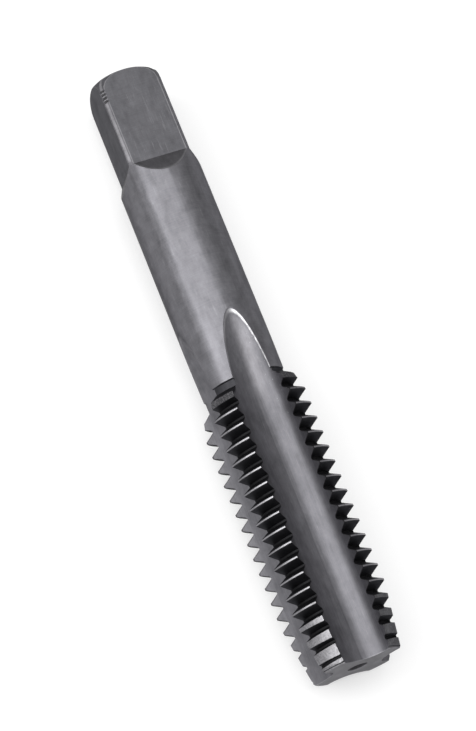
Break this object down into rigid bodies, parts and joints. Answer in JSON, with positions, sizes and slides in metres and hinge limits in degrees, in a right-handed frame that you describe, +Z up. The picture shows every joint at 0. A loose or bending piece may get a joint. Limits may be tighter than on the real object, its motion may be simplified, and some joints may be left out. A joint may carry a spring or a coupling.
{
  "type": "thread tap",
  "caption": "Straight-fluted hand tap that cuts a coarse internal thread, with a tapered lead, four fluted lands, a round shank and a driving square.",
  "frame": {"origin": "midpoint of the tool's length and width, at the height of the surface that it lies on", "axes": "+X along the tool's axis towards the cutting tip, +Z up with the tool lying on two of its lands, a flute and a flat of the square facing up"},
  "size_m": [0.1024, 0.0156, 0.0156],
  "materials": {
    "tool_steel": "ground high-speed steel, dark grey satin"
  },
  "bodies": {
    "root": {"thread_tap": "tool_steel"}
  },
  "joints": []
}
